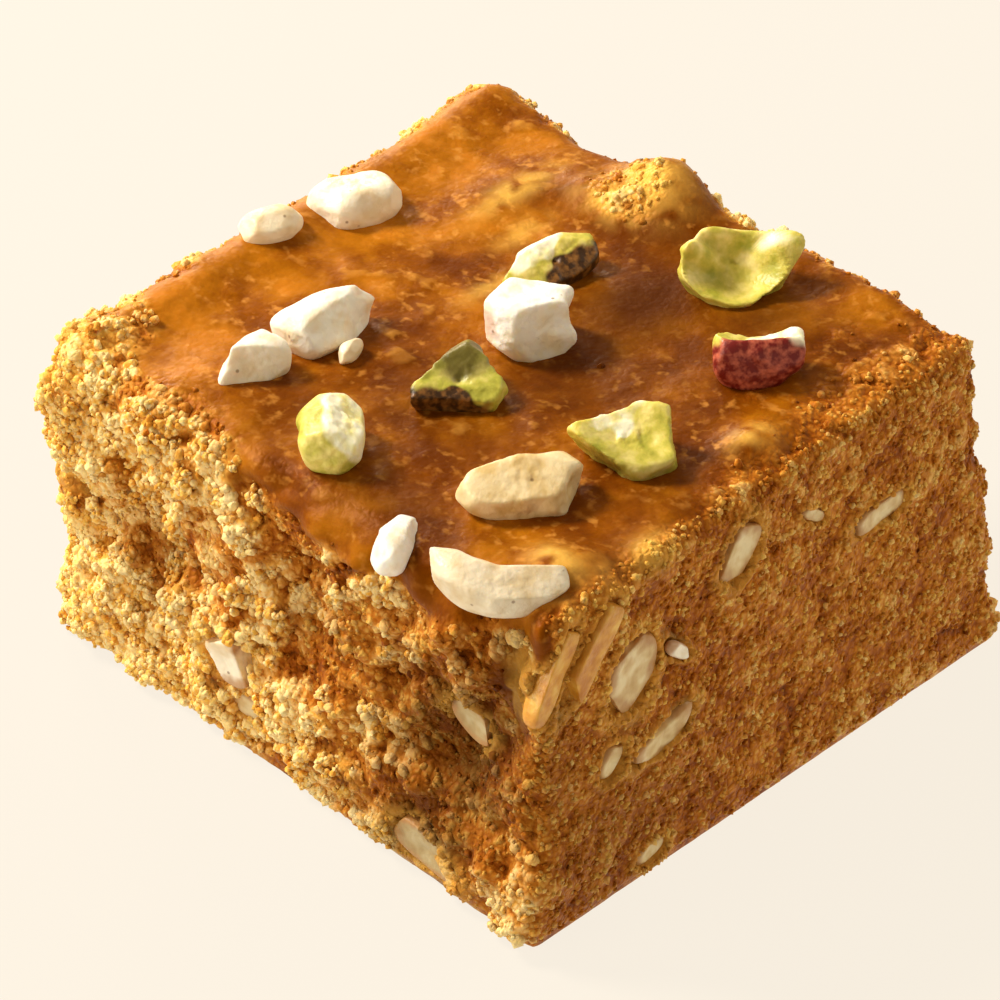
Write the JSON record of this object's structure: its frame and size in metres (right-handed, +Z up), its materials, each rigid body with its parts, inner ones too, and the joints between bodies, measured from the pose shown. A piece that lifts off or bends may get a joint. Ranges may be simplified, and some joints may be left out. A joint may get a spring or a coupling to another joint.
{
  "type": "barfi",
  "caption": "Square piece of crumbly brown barfi, a milk and flour sweet, pressed smooth on top and set with broken cashews and pistachios.",
  "frame": {"origin": "centre of the base, which is the middle of the box that holds the sweet, on the surface that it stands on", "axes": "+Z up out of the pressed, nut-topped face; +X out of the clean, fine-grained cut face; -Y out of the broken, coarse face"},
  "size_m": [0.0469, 0.0452, 0.0268],
  "materials": {
    "barfi": "ghee-rich crumb, waxy where it was pressed",
    "cashew": "broken kernel, satin",
    "pistachio": "broken kernel, satin, with remains of its skin",
    "soaked_nut": "cut nut soaked with ghee, satin",
    "candied_splinter": "nut splinter coated with syrup, glossy"
  },
  "bodies": {
    "root": {"barfi_block": "barfi", "cashew_wedge": "cashew", "cashew_tooth": "cashew", "cashew_chip": "cashew", "pistachio_slab": "pistachio", "pistachio_wedge": "pistachio", "cashew_cube": "cashew", "pistachio_sliver": "pistachio", "pistachio_cup": "pistachio", "pistachio_red": "pistachio", "pistachio_spout": "pistachio", "cashew_boat": "cashew", "cashew_nib": "cashew", "cashew_hook": "cashew", "cashew_disc": "cashew", "cashew_pebble": "cashew", "right_shard": "soaked_nut", "right_rod": "soaked_nut", "right_fleck": "soaked_nut", "right_chunk": "soaked_nut", "right_flake": "cashew", "right_crescent": "soaked_nut", "right_heel": "soaked_nut", "right_foot": "soaked_nut", "corner_splinter": "candied_splinter", "corner_sliver": "candied_splinter", "front_wedge": "cashew", "front_pebble": "soaked_nut", "front_chip": "soaked_nut", "front_plate": "soaked_nut"}
  },
  "joints": []
}
